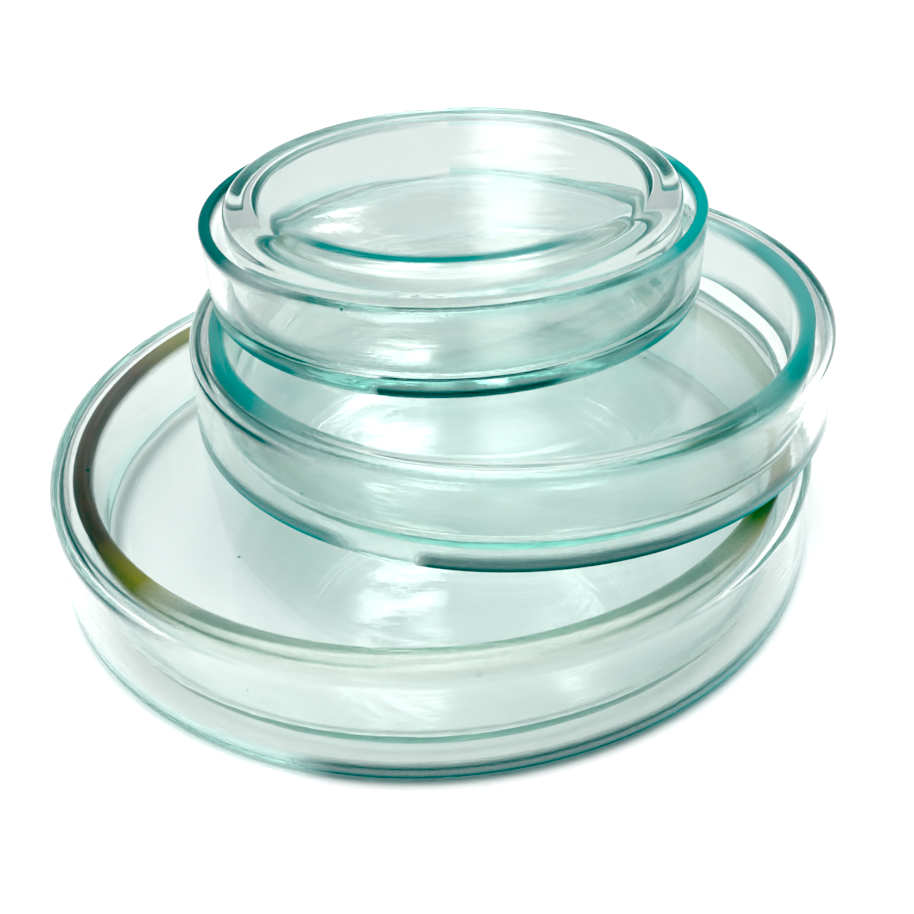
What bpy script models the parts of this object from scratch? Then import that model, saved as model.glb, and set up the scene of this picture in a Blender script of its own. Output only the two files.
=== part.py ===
"""Three lidded round glass dishes, stacked with the largest at the bottom.

Each dish and each lid is one pressed-glass cup: a flat floor, a rounded outer corner and a
wall that widens slightly towards its open edge. The large and medium dishes stand upright
under their lids. The small lid lies closed side down, and the small dish stands in it upside
down. Lengths are in metres, +Z is up, and the origin is the middle of the large dish's base.
"""

import math

import bpy

SEGMENTS = 64
OUTER_CORNER_STEPS = 3
INNER_CORNER_STEPS = 3
RIM_STEPS = 1

TOUCH_GAP = 0.0003  # left between two pieces where one rests on the other
RIM_ROUND = 0.0006
AXIS_MERGE = 0.00005

# Each cup: radius is the outside of the open edge, and taper is how much narrower it is at the floor.
# Corner is the rounding outside the floor's edge, and hollow is the rounding inside it.
LARGE_DISH = dict(
    radius=0.0558, height=0.0165, wall=0.0029, floor=0.0026, taper=0.0005, corner=0.0056, hollow=0.0022
)
LARGE_LID = dict(
    radius=0.0600, height=0.0183, wall=0.0022, floor=0.0024, taper=0.0007, corner=0.0032, hollow=0.0015
)
MEDIUM_DISH = dict(
    radius=0.0468, height=0.0140, wall=0.0027, floor=0.0024, taper=0.0005, corner=0.0052, hollow=0.0021
)
MEDIUM_LID = dict(
    radius=0.0501, height=0.0153, wall=0.0020, floor=0.0022, taper=0.0007, corner=0.0030, hollow=0.0015
)
SMALL_DISH = dict(
    radius=0.0351, height=0.0143, wall=0.0022, floor=0.0022, taper=0.0004, corner=0.0032, hollow=0.0066
)
SMALL_LID = dict(
    radius=0.0384, height=0.0134, wall=0.0019, floor=0.0022, taper=0.0003, corner=0.0015, hollow=0.0012
)

# The upper two sets stand a little off the large set's centre.
MEDIUM_CENTRE = (0.0132, 0.0056)
SMALL_CENTRE = (0.0052, 0.0105)

UPRIGHT = 0.0
UPSIDE_DOWN = math.pi


def arc(centre_r, centre_z, radius, start_degrees, end_degrees, steps):
    """Points (r, z) along a circular arc, both ends included."""
    points = []
    for step in range(steps + 1):
        angle = math.radians(start_degrees + (end_degrees - start_degrees) * step / steps)
        points.append((centre_r + radius * math.cos(angle), centre_z + radius * math.sin(angle)))
    return points


def cup_profile(radius, height, wall, floor, taper, corner, hollow):
    """Half section of a cup that opens upwards, from the middle of its floor out to the rim and down."""
    closed_radius = radius - taper
    inside_radius = closed_radius - wall
    inner_turn = arc(inside_radius - hollow, floor + hollow, hollow, -90, 0, INNER_CORNER_STEPS)
    rim_inside = arc(radius - wall + RIM_ROUND, height - RIM_ROUND, RIM_ROUND, 180, 90, RIM_STEPS)
    rim_outside = arc(radius - RIM_ROUND, height - RIM_ROUND, RIM_ROUND, 90, 0, RIM_STEPS)
    outer_turn = arc(closed_radius - corner, corner, corner, 0, -90, OUTER_CORNER_STEPS)
    return [(0.0, floor)] + inner_turn + rim_inside + rim_outside + outer_turn + [(0.0, 0.0)]


def glass_material(name, colour):
    """Smooth see-through glass."""
    material = bpy.data.materials.new(name)
    material.use_nodes = True
    shader = material.node_tree.nodes["Principled BSDF"]
    shader.inputs["Base Color"].default_value = (*colour, 1.0)
    shader.inputs["Roughness"].default_value = 0.03
    shader.inputs["Metallic"].default_value = 0.0
    shader.inputs["Transmission Weight"].default_value = 1.0
    shader.inputs["IOR"].default_value = 1.52
    return material


def turned_cup(name, sizes, colour, centre, height, turn):
    """One cup, turned about its own upright axis, with its closed end's outer face at the given height."""
    profile = cup_profile(**sizes)
    mesh = bpy.data.meshes.new(name)
    edges = [(i, i + 1) for i in range(len(profile) - 1)]
    mesh.from_pydata([(r, 0.0, z) for r, z in profile], edges, [])
    mesh.materials.append(glass_material(name + "_glass", colour))
    cup = bpy.data.objects.new(name, mesh)
    bpy.context.scene.collection.objects.link(cup)
    screw = cup.modifiers.new("turned", "SCREW")
    screw.axis = "Z"
    screw.angle = math.tau
    screw.steps = SEGMENTS
    screw.render_steps = SEGMENTS
    screw.use_merge_vertices = True
    screw.merge_threshold = AXIS_MERGE
    screw.use_smooth_shade = True
    cup.rotation_euler = (turn, 0.0, 0.0)
    cup.location = (*centre, height)
    return cup


def lidded_dish(size_name, dish, lid, colour, centre, base_height):
    """A dish that stands upright, with its lid upside down over it. Returns the height of the lid's top."""
    turned_cup(size_name + "_dish", dish, colour, centre, base_height, UPRIGHT)
    top_height = base_height + dish["height"] + TOUCH_GAP + lid["floor"]
    turned_cup(size_name + "_lid", lid, colour, centre, top_height, UPSIDE_DOWN)
    return top_height


def upturned_dish(size_name, dish, lid, colour, centre, base_height):
    """A lid that lies closed side down, with its dish upside down in it."""
    turned_cup(size_name + "_lid", lid, colour, centre, base_height, UPRIGHT)
    top_height = base_height + lid["floor"] + TOUCH_GAP + dish["height"]
    turned_cup(size_name + "_dish", dish, colour, centre, top_height, UPSIDE_DOWN)


def build():
    for old in list(bpy.data.objects):
        bpy.data.objects.remove(old)
    large_top = lidded_dish("large", LARGE_DISH, LARGE_LID, (0.82, 0.92, 0.90), (0.0, 0.0), 0.0)
    medium_base = large_top + TOUCH_GAP
    medium_top = lidded_dish(
        "medium", MEDIUM_DISH, MEDIUM_LID, (0.78, 0.92, 0.90), MEDIUM_CENTRE, medium_base
    )
    small_base = medium_top + TOUCH_GAP
    upturned_dish("small", SMALL_DISH, SMALL_LID, (0.76, 0.92, 0.90), SMALL_CENTRE, small_base)


build()
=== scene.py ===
"""Looks of a stack of three lidded round glass dishes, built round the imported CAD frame."""

import math
import random

import bpy
import numpy as np
from mathutils import Matrix, Vector


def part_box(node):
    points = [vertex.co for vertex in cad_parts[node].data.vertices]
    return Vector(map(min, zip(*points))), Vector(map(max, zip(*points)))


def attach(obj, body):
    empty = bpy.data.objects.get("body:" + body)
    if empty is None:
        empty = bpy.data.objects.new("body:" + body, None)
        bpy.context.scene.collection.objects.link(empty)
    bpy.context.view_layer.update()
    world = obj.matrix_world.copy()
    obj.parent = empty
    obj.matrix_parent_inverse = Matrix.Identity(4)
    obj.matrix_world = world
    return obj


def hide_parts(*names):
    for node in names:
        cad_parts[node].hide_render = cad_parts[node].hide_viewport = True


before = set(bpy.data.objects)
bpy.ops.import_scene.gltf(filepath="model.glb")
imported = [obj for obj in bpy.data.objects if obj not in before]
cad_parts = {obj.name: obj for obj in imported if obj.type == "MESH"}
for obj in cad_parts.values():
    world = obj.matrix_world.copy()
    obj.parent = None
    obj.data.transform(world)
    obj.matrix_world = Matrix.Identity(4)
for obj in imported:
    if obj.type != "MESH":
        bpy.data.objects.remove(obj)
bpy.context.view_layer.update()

# How each cup is made, in metres: wall and floor thickness, how much narrower it is at the floor than at its
# open edge, the rounding outside and inside its floor's edge, which way up it stands, and the rounding of its
# rim where it isn't RIM_ROUND.
CUPS = {
    "large_dish": dict(
        wall=0.0029, floor=0.0026, taper=0.0005, corner=0.0056, hollow=0.0022, upright=True, edge=0.0011
    ),
    "large_lid": dict(
        wall=0.0022, floor=0.0024, taper=0.0007, corner=0.0032, hollow=0.0015, upright=False
    ),
    "medium_dish": dict(
        wall=0.0027, floor=0.0024, taper=0.0005, corner=0.0052, hollow=0.0021, upright=True, edge=0.0010
    ),
    "medium_lid": dict(
        wall=0.0020, floor=0.0022, taper=0.0007, corner=0.0030, hollow=0.0015, upright=False
    ),
    "small_dish": dict(
        wall=0.0022, floor=0.0022, taper=0.0004, corner=0.0032, hollow=0.0045, upright=False
    ),
    "small_lid": dict(
        wall=0.0019, floor=0.0022, taper=0.0003, corner=0.0015, hollow=0.0012, upright=True
    ),
}
RIM_ROUND = 0.0006

SEGMENTS = 256
CORNER_STEPS = 12
RIM_STEPS = 5
FLAT_STEP = 0.0015  # spacing of the rings on walls and floors

WAVE_HEIGHT = 0.00001
WAVES_PER_SIDE = 10
WAVE_LENGTHS = (0.008, 0.026)
WAVE_LIMIT = 1.5
STILL_MIDDLE = 0.004  # the waves fade out within this distance from the axis

IOR = 1.52
DRAW_LINES_PER_METRE = 900.0
DRAW_LINE_SPREAD = 5.0  # how quickly a draw line changes round the axis
DRAW_LINE_HEIGHT = 0.00001
DRAW_LINE_ON_FLATS = 0.25  # depth of the draw lines on floors, against walls
WALL_ZONE = (0.006, 0.003)  # the walls' look starts and is complete this far inwards from the outer radius
RIM_ROUGHNESS = 0.18
RIM_GRAIN_HEIGHT = 0.00003
GRAINS_PER_METRE = 3000.0
GRAIN_GAPS = (0.35, 0.5)
LEAST_FROSTING = 0.9
SEEDS_PER_METRE = 70.0
SEED_SIZE = 0.016

# Tint of the walls, and colours of the bands: red, green, blue and how frosted that place is. The band
# colours are painted shade and painted reflection, the dark and pale lines that glass edges show by internal
# reflection, put on as colour and as frosting that hides the clear glass; the ground rims' fine frosting is
# real.
WALL_TINT = (0.92, 0.93, 0.92)
CLEAR = (1.0, 1.0, 1.0, 0.0)
PALE = (0.7, 0.96, 0.93, 0.1)
MILKY = (1.0, 0.98, 0.9, 0.22)
CREAM = (1.0, 0.97, 0.85, 0.6)
OLIVE = (0.26, 0.2, 0.01, 0.9)
BROWN_BLACK = (0.1, 0.025, 0.015, 1.0)
TEAL = (0.0, 0.27, 0.26, 0.96)
DEEP_TEAL = (0.0, 0.08, 0.075, 1.0)

# How a band's painted shade and reflection changes round the cup: degrees to the right of the front, and the
# colour there. RIM_SIDES paints teal edge lines at the sides of the rims and SHOULDER dark teal lines at the
# lids' shoulders.
RIM_SIDES = [
    (-180, CLEAR), (-130, PALE), (-112, TEAL), (-55, TEAL), (-28, CLEAR),
    (35, PALE), (55, TEAL), (108, TEAL), (130, PALE),
]
SHOULDER = [
    (-180, CLEAR), (-125, CLEAR), (-105, DEEP_TEAL), (-45, DEEP_TEAL), (-30, CLEAR),
    (60, CLEAR), (90, TEAL), (120, CLEAR),
]

# For each cup: what each colour loses in a metre of glass, and the painted shade and reflection of its bands.
# The large dish's brown-black, olive and cream rim is painted reflection, and the deep teal at the front of
# the lids' rims and of the small lid's foot and hollow is a painted dark bar from internal reflection.
LOOKS = {
    "large_dish": dict(
        absorption=(14.0, 7.5, 9.0),
        rim=[
            (-180, CREAM), (-140, CREAM), (-126, OLIVE), (-108, BROWN_BLACK), (-58, BROWN_BLACK),
            (-45, OLIVE), (-33, MILKY), (40, MILKY), (55, OLIVE), (64, BROWN_BLACK), (70, OLIVE),
            (80, OLIVE), (90, CREAM),
        ],
    ),
    "large_lid": dict(
        absorption=(14.0, 7.5, 9.0),
        foot=SHOULDER,
        hollow=SHOULDER,
        rim=[
            (-180, CLEAR), (-90, PALE), (-20, PALE), (-13, DEEP_TEAL), (25, DEEP_TEAL), (40, TEAL),
            (90, PALE),
        ],
    ),
    "medium_dish": dict(absorption=(16.0, 7.5, 9.0), rim=RIM_SIDES),
    "medium_lid": dict(
        absorption=(14.0, 7.5, 9.0),
        foot=SHOULDER,
        hollow=SHOULDER,
        rim=[
            (-180, CLEAR), (-90, PALE), (-52, TEAL), (-34, TEAL), (-27, CLEAR), (-17.5, CLEAR),
            (-16.5, DEEP_TEAL), (20, DEEP_TEAL), (35, TEAL), (110, TEAL), (130, PALE),
        ],
    ),
    "small_dish": dict(
        absorption=(14.0, 7.5, 9.0),
        flat_tint=(0.94, 0.955, 0.95),
        rim=RIM_SIDES,
        hollow=[(-180, PALE), (-60, CLEAR), (-40, TEAL), (25, TEAL), (45, CLEAR), (140, CLEAR)],
    ),
    "small_lid": dict(
        absorption=(16.0, 7.5, 9.0),
        rim=[
            (-180, CLEAR), (-130, TEAL), (-112, DEEP_TEAL), (-60, DEEP_TEAL), (-30, CLEAR), (35, PALE),
            (55, TEAL), (105, TEAL), (125, PALE),
        ],
        foot=[
            (-180, CLEAR), (-90, PALE), (-50, TEAL), (-38, TEAL), (-30, CLEAR), (-18.5, CLEAR),
            (-17, DEEP_TEAL), (18, DEEP_TEAL), (28, PALE), (45, TEAL), (70, TEAL), (90, CLEAR),
        ],
        hollow=[(-180, CLEAR), (-18.5, CLEAR), (-17, DEEP_TEAL), (18, DEEP_TEAL), (24, CLEAR)],
    ),
}

# Where the painted band of shade and reflection on each cup's foot and hollow starts and ends, as shares of
# that rounding.
BAND_ENDS = {node: dict(foot=(-0.1, 0.2), hollow=(0.4, 0.6)) for node in CUPS}
BAND_ENDS["small_lid"] = dict(foot=(-0.1, 1.1), hollow=(0.35, 0.65))
BAND_ENDS["small_dish"] = dict(foot=(-0.1, 0.6), hollow=(-0.1, 0.25))
BAND_SHARPNESS = 12

# Radiance of the surroundings: a pale low band, a dim middle with darker sides, and a bright top.
LOW_BAND, DIM_MIDDLE, DARK_SIDES, BRIGHT_TOP = 0.65, 0.78, 0.2, 4.1
MIDDLE_STARTS, TOP_STARTS = (26.0, 34.0), (52.0, 68.0)  # degrees of elevation, from and to
SIDES_START = (13.0, 18.0)  # degrees either side of the middle
BACKDROP = 1.3  # what is seen directly behind the object

# Window strips: centre azimuth, half width, lowest and highest elevation and edge softness, all in degrees,
# and strength.
WINDOWS = [
    (-4.4, 2.6, 38.5, 46, 0.6, 11.0),
    (-4.4, 2.6, 28, 35.5, 0.6, 6.5),
    (3.6, 1.9, 14, 36, 0.9, 0.8),
    (8.5, 1.8, 38, 46, 0.8, 8.0),
    (-5.6, 1.0, 21, 23.5, 0.5, 3.0),
]
WINDOW_END_SOFTNESS = 1.5
SLATTED_ABOVE = 1  # windows stronger than this are broken up by slats
SLATS_PER_DEGREE = (0.15, 1.9)  # along and across the slats
SLAT_EDGES = (0.49, 0.55)
FRINGES_PER_DEGREE = 3.0
FRINGE_WIDTH = 7.0  # degrees within which the windows' sides wander

FLOOR_HALF_WIDTH = 2.0
FLOOR_GAP = 0.0002
FLOOR_COLOUR = (0.95, 0.95, 0.95, 1)

# The camera in front of the stack, in metres, degrees and, for the lens, millimetres.
CAMERA_FACTS = dict(
    target=(0.00408, -0.01325, 0.0178), distance=0.1721, elevation=34.48, roll=-2.73, lens=44.94
)

LIGHT_BOUNCES = 160  # light crosses many glass surfaces
BLACK_LEVEL = (0.10, 0.02, 0.025)


def arc(centre_r, centre_z, radius, start_degrees, end_degrees, steps):
    """Points (r, z) along a circular arc, both ends included."""
    angles = np.radians(np.linspace(start_degrees, end_degrees, steps + 1))
    return np.column_stack([centre_r + radius * np.cos(angles), centre_z + radius * np.sin(angles)])


def straight(start, end):
    """Points between two ends of a straight stretch, the ends left out."""
    count = max(2, round(float(np.hypot(*(np.subtract(end, start)))) / FLAT_STEP))
    shares = np.linspace(0, 1, count + 1)[1:-1, None]
    return np.asarray(start) + shares * np.subtract(end, start)


def cup_profile(radius, height, wall, floor, taper, corner, hollow, edge=RIM_ROUND):
    """Half section of an upright cup from the middle of its floor, up inside and down outside.

    Returns the points (r, z) and the name of the part of the cup that each is on.
    """
    closed_radius = radius - taper
    inside_radius = closed_radius - wall
    inner_turn = arc(inside_radius - hollow, floor + hollow, hollow, -90, 0, CORNER_STEPS)
    rim_inside = arc(radius - wall + edge, height - edge, edge, 180, 90, RIM_STEPS)
    rim_outside = arc(radius - edge, height - edge, edge, 90, 0, RIM_STEPS)
    outer_turn = arc(closed_radius - corner, corner, corner, 0, -90, CORNER_STEPS)
    stretches = [
        ("inside", np.array([[0.0, floor]])),
        ("inside", straight((0.0, floor), inner_turn[0])),
        ("hollow", inner_turn),
        ("inside", straight(inner_turn[-1], rim_inside[0])),
        ("rim", rim_inside),
        ("rim", straight(rim_inside[-1], rim_outside[0])),
        ("rim", rim_outside),
        ("outside", straight(rim_outside[-1], outer_turn[0])),
        ("foot", outer_turn),
        ("outside", straight(outer_turn[-1], (0.0, 0.0))),
        ("outside", np.array([[0.0, 0.0]])),
    ]
    points = np.vstack([stretch for _, stretch in stretches])
    parts = np.concatenate([[part] * len(stretch) for part, stretch in stretches])
    return points, parts


def waves(points, chooser):
    """A gentle unevenness of the glass at each point, as the sum of a few waves in any direction."""
    total = np.zeros(len(points))
    for _ in range(WAVES_PER_SIDE):
        length = chooser.uniform(*WAVE_LENGTHS)
        direction = np.array([chooser.gauss(0, 1) for _ in range(3)])
        direction *= math.tau / length / np.linalg.norm(direction)
        total += np.sin(points @ direction + chooser.uniform(0, math.tau)) * length
    return total / (WAVES_PER_SIDE**0.5 * np.mean(WAVE_LENGTHS))


def turned(r, z):
    """Profile values r and z turned round the axis, ring by ring."""
    angles = np.arange(SEGMENTS) / SEGMENTS * math.tau
    r, z = r[:, None], z[:, None]
    return np.stack([r * np.cos(angles), r * np.sin(angles), z + 0 * angles], axis=-1)


def turned_points(points, parts, chooser):
    """The turned cup's points, ring by ring, moved a little into the glass by its waves."""
    along = np.gradient(points, axis=0)
    normal = np.column_stack([along[:, 1], -along[:, 0]])
    normal /= np.maximum(np.linalg.norm(normal, axis=1), 1e-12)[:, None]
    xyz = turned(points[:, 0], points[:, 1])
    into_glass = turned(normal[:, 0], normal[:, 1])
    flat = xyz.reshape(-1, 3)
    inner = waves(flat, chooser).reshape(len(points), SEGMENTS)
    outer = waves(flat, chooser).reshape(len(points), SEGMENTS)
    is_inner = np.isin(parts, ("inside", "hollow"))[:, None]
    still = (parts != "rim")[:, None] * np.minimum(1, points[:, 0, None] / STILL_MIDDLE)
    depth = np.clip(np.where(is_inner, inner, outer) * still + WAVE_LIMIT, 0, 2 * WAVE_LIMIT) * WAVE_HEIGHT
    return xyz + into_glass * depth[..., None]


def cup_faces(rings):
    """Faces between the rings, with the first and last ring each a single point."""
    faces = []
    around = [(i, (i + 1) % SEGMENTS) for i in range(SEGMENTS)]
    last = 1 + (rings - 2) * SEGMENTS
    for i, j in around:
        faces.append((0, 1 + i, 1 + j))
        faces.append((last, last - SEGMENTS + j, last - SEGMENTS + i))
    for ring in range(rings - 3):
        start = 1 + ring * SEGMENTS
        above = start + SEGMENTS
        faces += [(start + j, start + i, above + i, above + j) for i, j in around]
    return faces


def band_shares(parts, ends):
    """How much each profile point belongs to the rim's, the foot's and the hollow's bands of painted shade
    and reflection.
    """
    shares = {"rim": (parts == "rim").astype(float)}
    for band in ("foot", "hollow"):
        start, end = ends[band]
        where = np.flatnonzero(parts == band)
        along = np.linspace(0, 1, len(where))
        share = np.zeros(len(parts))
        share[where] = np.clip((along - start) * BAND_SHARPNESS, 0, 1)
        share[where] *= np.clip((end - along) * BAND_SHARPNESS, 0, 1)
        shares[band] = share
    return shares


def cup_piece(node, body, look):
    """The finished glass piece that stands for one CAD cup, sized and placed by that cup's own box."""
    low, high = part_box(node)
    made = CUPS[node]
    profile_sizes = {key: value for key, value in made.items() if key != "upright"}
    points, parts = cup_profile((high.x - low.x) / 2, high.z - low.z, **profile_sizes)
    xyz = turned_points(points, parts, random.Random(node))
    if not made["upright"]:
        xyz = xyz * (1, -1, -1) + (0, 0, high.z - low.z)
    xyz = xyz + ((high.x + low.x) / 2, (high.y + low.y) / 2, low.z)
    vertices = np.vstack([xyz[0, :1], xyz[1:-1].reshape(-1, 3), xyz[-1, :1]])
    mesh = bpy.data.meshes.new(node + "_glass")
    mesh.from_pydata(vertices.tolist(), [], cup_faces(len(points)))
    for band, share in band_shares(parts, BAND_ENDS[node]).items():
        share = np.concatenate([share[:1], np.repeat(share[1:-1], SEGMENTS), share[-1:]])
        mesh.attributes.new(band, "FLOAT", "POINT").data.foreach_set("value", share)
    mesh.shade_smooth()
    mesh.materials.append(look)
    mesh.validate()
    piece = bpy.data.objects.new(node + "_glass", mesh)
    bpy.context.scene.collection.objects.link(piece)
    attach(piece, body)
    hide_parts(node)
    return piece


def feed(tree, value, socket):
    """Sets a socket to a number, or links it to another node's output."""
    if isinstance(value, (int, float)):
        socket.default_value = value
    else:
        tree.links.new(value, socket)


def math_node(tree, operation, *values):
    node = tree.nodes.new("ShaderNodeMath")
    node.operation = operation
    for value, socket in zip(values, node.inputs):
        feed(tree, value, socket)
    return node.outputs[0]


def times(tree, first, *others):
    """The product of several values."""
    for other in others:
        first = math_node(tree, "MULTIPLY", first, other)
    return first


def combine(tree, *values):
    node = tree.nodes.new("ShaderNodeCombineXYZ")
    for value, socket in zip(values, node.inputs):
        feed(tree, value, socket)
    return node.outputs[0]


def soft_step(tree, value, start, end):
    """0 below start, 1 above end, and smooth in between."""
    node = tree.nodes.new("ShaderNodeMapRange")
    node.interpolation_type = "SMOOTHSTEP"
    tree.links.new(value, node.inputs["Value"])
    node.inputs["From Min"].default_value = start
    node.inputs["From Max"].default_value = end
    return node.outputs["Result"]


def noise(tree, vector, scale, detail=2.0):
    node = tree.nodes.new("ShaderNodeTexNoise")
    node.inputs["Scale"].default_value = scale
    node.inputs["Detail"].default_value = detail
    tree.links.new(vector, node.inputs["Vector"])
    return node.outputs["Fac"]


def mixed_colour(tree, share, first, second):
    node = tree.nodes.new("ShaderNodeMix")
    node.data_type = "RGBA"
    tree.links.new(share, node.inputs["Factor"])
    for name, value in (("A", first), ("B", second)):
        socket = next(i for i in node.inputs if i.name == name and i.type == "RGBA")
        if isinstance(value, tuple):
            socket.default_value = (*value[:3], 1)
        else:
            tree.links.new(value, socket)
    return next(o for o in node.outputs if o.type == "RGBA")


def bump(tree, height, distance, before=None):
    node = tree.nodes.new("ShaderNodeBump")
    node.inputs["Distance"].default_value = distance
    tree.links.new(height, node.inputs["Height"])
    if before is not None:
        tree.links.new(before, node.inputs["Normal"])
    return node.outputs[0]


def attribute(tree, name):
    node = tree.nodes.new("ShaderNodeAttribute")
    node.attribute_name = name
    return node.outputs["Fac"]


def painted_shade_round(tree, turn, stops):
    """The painted shade and reflection of a band, as colour and frosting that change round the cup."""
    ramp = tree.nodes.new("ShaderNodeValToRGB")
    tree.links.new(turn, ramp.inputs["Fac"])
    elements = ramp.color_ramp.elements
    while len(elements) < len(stops):
        elements.new(1.0)
    while len(elements) > len(stops):
        elements.remove(elements[-1])
    for element, (degrees, colour) in zip(elements, stops):
        element.position = degrees / 360 + 0.5
        element.color = colour
    return ramp.outputs["Color"], ramp.outputs["Alpha"]


def place_round_axis(tree, place, centre):
    """Distances right of the cup's axis, in front of it and from it, and the height."""
    split = tree.nodes.new("ShaderNodeSeparateXYZ")
    tree.links.new(place, split.inputs[0])
    x = math_node(tree, "SUBTRACT", split.outputs[0], centre[0])
    y = math_node(tree, "SUBTRACT", centre[1], split.outputs[1])
    r = math_node(tree, "SQRT", math_node(tree, "ADD", times(tree, x, x), times(tree, y, y)))
    return x, y, r, split.outputs[2]


def draw_lines(tree, x, y, r, height):
    """Fine lines round the axis: noise that changes fast outwards and upwards, and slowly round the cup."""
    safe_r = math_node(tree, "MAXIMUM", r, 0.001)
    around_x = times(tree, math_node(tree, "DIVIDE", x, safe_r), DRAW_LINE_SPREAD)
    around_y = times(tree, math_node(tree, "DIVIDE", y, safe_r), DRAW_LINE_SPREAD)
    outwards = times(tree, math_node(tree, "ADD", r, height), DRAW_LINES_PER_METRE)
    return noise(tree, combine(tree, around_x, around_y, outwards), 1.0, 3.0)


def add_seeds(tree, place, colour):
    """The colour with a few tiny dark bubbles in it."""
    seeds = tree.nodes.new("ShaderNodeTexVoronoi")
    seeds.inputs["Scale"].default_value = SEEDS_PER_METRE
    tree.links.new(place, seeds.inputs["Vector"])
    is_seed = math_node(tree, "LESS_THAN", seeds.outputs["Distance"], SEED_SIZE)
    return mixed_colour(tree, is_seed, colour, DEEP_TEAL)


def add_absorption(tree, absorption):
    densest = max(absorption)
    inside = tree.nodes.new("ShaderNodeVolumeAbsorption")
    inside.inputs["Color"].default_value = (*[1 - a / densest for a in absorption], 1)
    inside.inputs["Density"].default_value = densest
    tree.links.new(inside.outputs["Volume"], tree.nodes["Material Output"].inputs["Volume"])


def glass(name, centre, radius, absorption, flat_tint=(1.0, 1.0, 1.0), **painted_bands):
    """Clear tinted glass, with fine draw lines round its axis, a ground rim and bands of painted shade and
    reflection.

    Absorption is what each colour loses in a metre of glass, and the remaining keywords hold the stops of
    each band's painted shade and reflection.
    """
    material = bpy.data.materials.new(name)
    material.use_nodes = True
    tree = material.node_tree
    shader = tree.nodes["Principled BSDF"]
    shader.inputs["IOR"].default_value = IOR

    place = tree.nodes.new("ShaderNodeTexCoord").outputs["Object"]
    x, y, r, height = place_round_axis(tree, place, centre)
    turn = math_node(tree, "MULTIPLY_ADD", math_node(tree, "ARCTAN2", x, y), 0.5 / math.pi, 0.5)
    on_wall = soft_step(tree, r, radius - WALL_ZONE[0], radius - WALL_ZONE[1])
    rim = attribute(tree, "rim")
    grain = noise(tree, place, GRAINS_PER_METRE)

    line_depth = math_node(tree, "MAXIMUM", on_wall, DRAW_LINE_ON_FLATS)
    normal = bump(tree, times(tree, draw_lines(tree, x, y, r, height), line_depth), DRAW_LINE_HEIGHT)
    normal = bump(tree, times(tree, grain, rim), RIM_GRAIN_HEIGHT, normal)

    mottling = math_node(tree, "MAXIMUM", soft_step(tree, grain, *GRAIN_GAPS), LEAST_FROSTING)
    colour, clear_share = mixed_colour(tree, on_wall, flat_tint, WALL_TINT), 1.0
    # Painted shade and reflection: each band's colour, and the frosting that hides the clear glass, are set
    # round the cup to draw the dark and pale edge lines.
    for band, stops in painted_bands.items():
        share = attribute(tree, band)
        painted_shade, frost_and_shade = painted_shade_round(tree, turn, stops)
        colour = mixed_colour(tree, share, colour, painted_shade)
        clear_share = math_node(tree, "SUBTRACT", clear_share, times(tree, share, frost_and_shade, mottling))
    colour = add_seeds(tree, place, colour)

    tree.links.new(normal, shader.inputs["Normal"])
    tree.links.new(times(tree, rim, RIM_ROUGHNESS), shader.inputs["Roughness"])
    tree.links.new(clear_share, shader.inputs["Transmission Weight"])
    tree.links.new(colour, shader.inputs["Base Color"])
    # The painted band colours also tint the reflections there.
    tree.links.new(colour, shader.inputs["Specular Tint"])
    add_absorption(tree, absorption)
    return material


def make_camera(target, distance, elevation, roll, lens):
    """A camera in front of the stack, looking down at it, with the horizon a little off level."""
    e, turn = math.radians(elevation), math.radians(roll)
    back = Vector((0, -math.cos(e), math.sin(e)))
    right, up = Vector((1, 0, 0)), Vector((0, math.sin(e), math.cos(e)))
    tilted_right = right * math.cos(turn) + up * math.sin(turn)
    tilted_up = up * math.cos(turn) - right * math.sin(turn)
    camera = bpy.data.objects.new("camera", bpy.data.cameras.new("camera"))
    bpy.context.scene.collection.objects.link(camera)
    camera.data.lens = lens
    camera.data.sensor_width = 36
    camera.data.clip_start = 0.01
    camera.matrix_world = Matrix.Translation(Vector(target) + back * distance) @ Matrix(
        [tilted_right, tilted_up, back]
    ).transposed().to_4x4()
    bpy.context.scene.camera = camera


def make_floor():
    mesh = bpy.data.meshes.new("floor")
    s, z = FLOOR_HALF_WIDTH, -FLOOR_GAP
    mesh.from_pydata([(-s, -s, z), (s, -s, z), (s, s, z), (-s, s, z)], [], [(0, 1, 2, 3)])
    material = bpy.data.materials.new("floor_white")
    material.use_nodes = True
    shader = material.node_tree.nodes["Principled BSDF"]
    shader.inputs["Base Color"].default_value = FLOOR_COLOUR
    shader.inputs["Roughness"].default_value = 1.0
    shader.inputs["Specular IOR Level"].default_value = 0.0
    mesh.materials.append(material)
    floor = bpy.data.objects.new("floor", mesh)
    bpy.context.scene.collection.objects.link(floor)


def plain_surroundings(tree, azimuth, elevation):
    """Radiance of the low band, the dim middle with its darker sides, and the bright top."""
    aside = math_node(tree, "ABSOLUTE", azimuth)
    darker_sides = times(tree, soft_step(tree, aside, *SIDES_START), DARK_SIDES - DIM_MIDDLE)
    change = math_node(tree, "ADD", darker_sides, DIM_MIDDLE - LOW_BAND)
    middle = times(tree, soft_step(tree, elevation, *MIDDLE_STARTS), change)
    top = times(tree, soft_step(tree, elevation, *TOP_STARTS), BRIGHT_TOP - DARK_SIDES)
    return math_node(tree, "ADD", math_node(tree, "ADD", middle, top), LOW_BAND)


def window_strip(tree, azimuth, elevation, slats, window):
    """Radiance of one window strip, with soft edges and, if it is bright, slats."""
    centre, half, low, high, soft, strength = window
    off = math_node(tree, "ABSOLUTE", math_node(tree, "SUBTRACT", azimuth, centre))
    outside = soft_step(tree, off, half - soft, half + soft)
    above = soft_step(tree, elevation, high, high + WINDOW_END_SOFTNESS)
    mask = times(
        tree,
        math_node(tree, "SUBTRACT", 1.0, outside),
        soft_step(tree, elevation, low, low + WINDOW_END_SOFTNESS),
        math_node(tree, "SUBTRACT", 1.0, above),
    )
    if strength > SLATTED_ABOVE:
        mask = times(tree, mask, slats)
    return times(tree, mask, strength)


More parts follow.
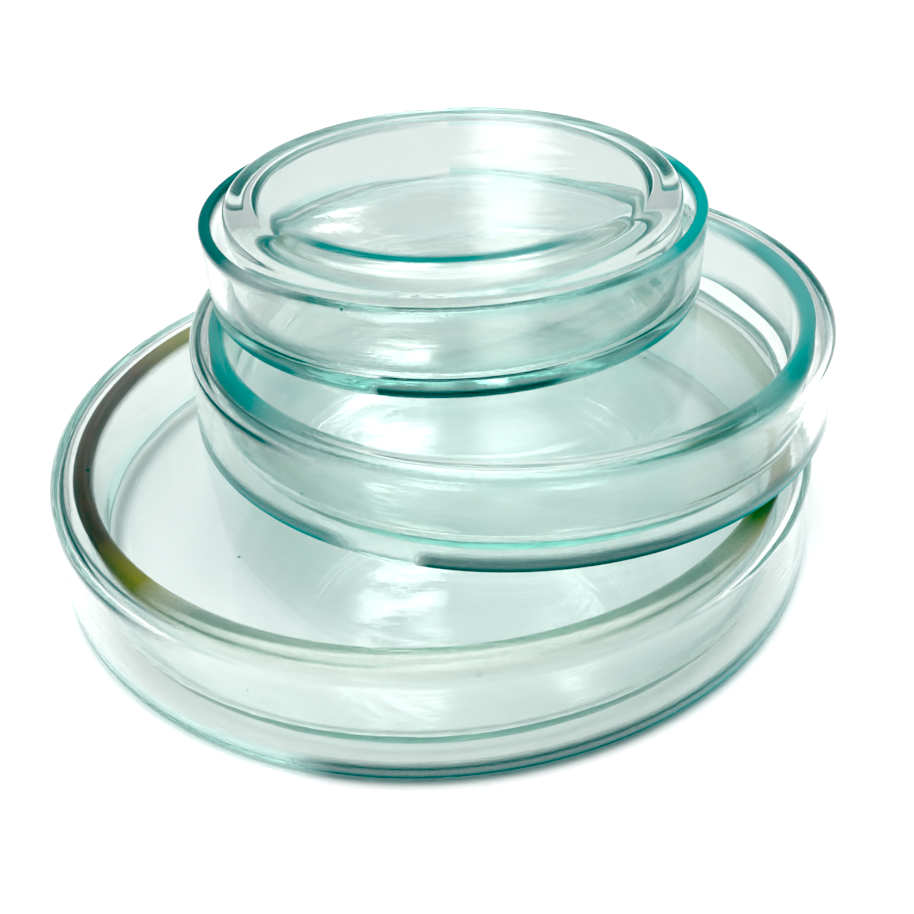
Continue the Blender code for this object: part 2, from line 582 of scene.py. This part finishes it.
def make_world():
    world = bpy.data.worlds.new("studio")
    bpy.context.scene.world = world
    world.use_nodes = True
    tree = world.node_tree
    tree.nodes.clear()
    split = tree.nodes.new("ShaderNodeSeparateXYZ")
    tree.links.new(tree.nodes.new("ShaderNodeTexCoord").outputs["Generated"], split.inputs[0])
    x, y, z = split.outputs
    degrees = 180 / math.pi
    azimuth = times(tree, math_node(tree, "ARCTAN2", x, y), degrees)
    elevation = times(tree, math_node(tree, "ARCSINE", z), degrees)

    total = plain_surroundings(tree, azimuth, elevation)
    along, across = SLATS_PER_DEGREE
    slats = combine(tree, times(tree, azimuth, along), times(tree, elevation, across), 0.0)
    bright_slats = soft_step(tree, noise(tree, slats, 1.0, 1.0), *SLAT_EDGES)
    fringe = noise(tree, combine(tree, 0.0, 0.0, times(tree, elevation, FRINGES_PER_DEGREE)), 1.0)
    centred = math_node(tree, "SUBTRACT", azimuth, FRINGE_WIDTH / 2)
    shifted = math_node(tree, "MULTIPLY_ADD", fringe, FRINGE_WIDTH, centred)
    for window in WINDOWS:
        total = math_node(tree, "ADD", total, window_strip(tree, shifted, elevation, bright_slats, window))

    seen = tree.nodes.new("ShaderNodeLightPath").outputs["Is Camera Ray"]
    total = math_node(tree, "MULTIPLY_ADD", seen, math_node(tree, "SUBTRACT", BACKDROP, total), total)
    background = tree.nodes.new("ShaderNodeBackground")
    tree.links.new(total, background.inputs["Strength"])
    background.inputs["Color"].default_value = (1, 1, 1, 1)
    out = tree.nodes.new("ShaderNodeOutputWorld")
    tree.links.new(background.outputs[0], out.inputs[0])


def set_light_and_view():
    """Enough bounces for light through many layers of glass, and a view that deepens the darkest tones."""
    scene = bpy.context.scene
    scene.cycles.max_bounces = LIGHT_BOUNCES
    scene.cycles.transmission_bounces = LIGHT_BOUNCES
    scene.cycles.glossy_bounces = LIGHT_BOUNCES
    scene.cycles.blur_glossy = 0.0
    scene.cycles.caustics_reflective = True
    scene.cycles.caustics_refractive = True
    scene.view_settings.view_transform = "Standard"
    scene.view_settings.use_curve_mapping = True
    scene.view_settings.curve_mapping.black_level = BLACK_LEVEL
    scene.view_settings.curve_mapping.update()


make_camera(**CAMERA_FACTS)
make_floor()
make_world()
for node_name in CUPS:
    low_corner, high_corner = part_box(node_name)
    centre = (low_corner + high_corner) / 2
    outer_radius = (high_corner.x - low_corner.x) / 2
    look = glass(node_name + "_glass", centre, outer_radius, **LOOKS[node_name])
    piece = cup_piece(node_name, node_name + "_body", look)
set_light_and_view()
